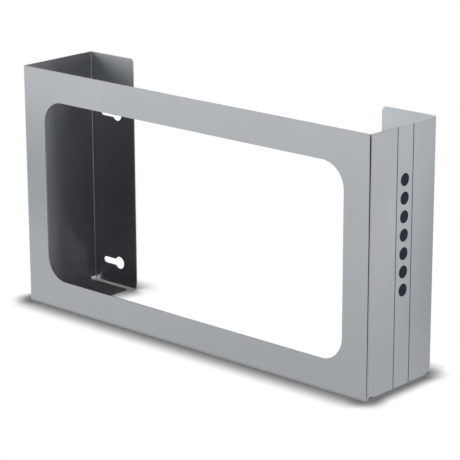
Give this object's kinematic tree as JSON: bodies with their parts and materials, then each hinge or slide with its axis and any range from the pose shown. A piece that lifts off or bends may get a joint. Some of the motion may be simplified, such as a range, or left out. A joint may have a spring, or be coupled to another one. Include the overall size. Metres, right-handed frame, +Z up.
{
  "type": "disposable glove dispenser",
  "caption": "Open-topped wall holder for disposable glove cartons, folded from sheet steel, with a large round-cornered window, foot tabs and back flanges with keyholes.",
  "frame": {"origin": "on the floor under the middle of the holder", "axes": "+X along the long side to the right of someone facing the window, +Y from the window to the wall behind, +Z up"},
  "size_m": [0.4572, 0.0984, 0.254],
  "materials": {
    "stainless_sheet": "brushed, with smoother inside faces"
  },
  "bodies": {
    "root": {"folded_holder": "stainless_sheet"}
  },
  "joints": []
}
